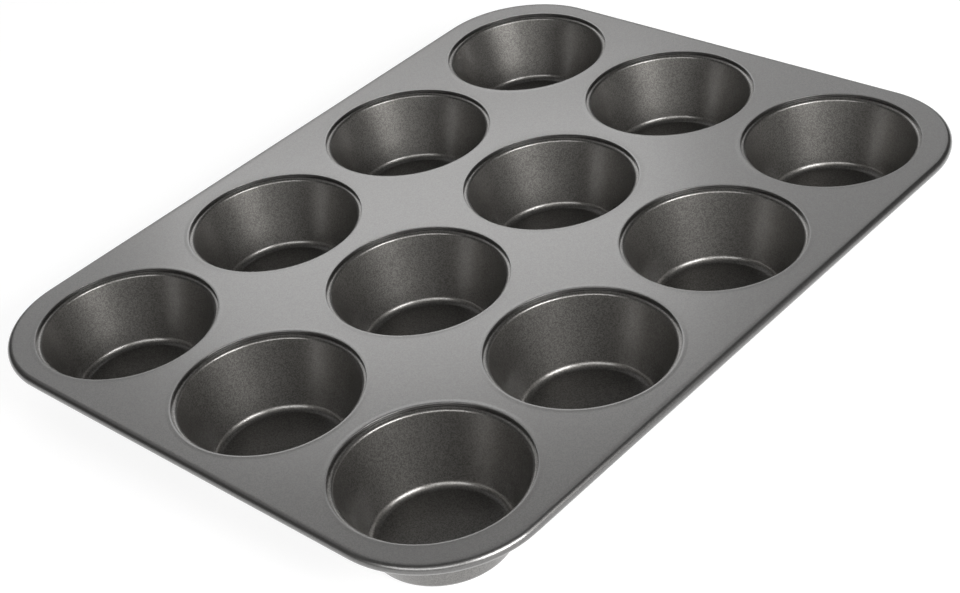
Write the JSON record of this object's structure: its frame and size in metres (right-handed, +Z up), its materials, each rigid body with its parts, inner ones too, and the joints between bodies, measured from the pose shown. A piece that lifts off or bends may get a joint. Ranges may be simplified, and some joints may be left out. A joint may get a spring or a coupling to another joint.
{
  "type": "muffin pan",
  "caption": "Rectangular muffin pan in satin coated sheet steel, with drawn tapered cups lock-seamed into a flat deck and an edge rolled round a wire.",
  "frame": {"origin": "middle of the cup grid, on the surface that the cups' undersides stand on", "axes": "+X along the long side, with four cups; +Y along the short side, with three; +Z up, out of the cups"},
  "size_m": [0.3506, 0.2696, 0.0314],
  "materials": {
    "deck_coating": "satin metallic non-stick coating on sheet steel",
    "cup_coating": "satin metallic non-stick coating with fine flake, on drawn sheet steel",
    "wire": "drawn steel wire"
  },
  "bodies": {
    "root": {"deck_plate": "deck_coating", "rim_wire": "wire", "cup_front_1": "cup_coating", "cup_front_2": "cup_coating", "cup_front_3": "cup_coating", "cup_front_4": "cup_coating", "cup_middle_1": "cup_coating", "cup_middle_2": "cup_coating", "cup_middle_3": "cup_coating", "cup_middle_4": "cup_coating", "cup_back_1": "cup_coating", "cup_back_2": "cup_coating", "cup_back_3": "cup_coating", "cup_back_4": "cup_coating"}
  },
  "joints": []
}
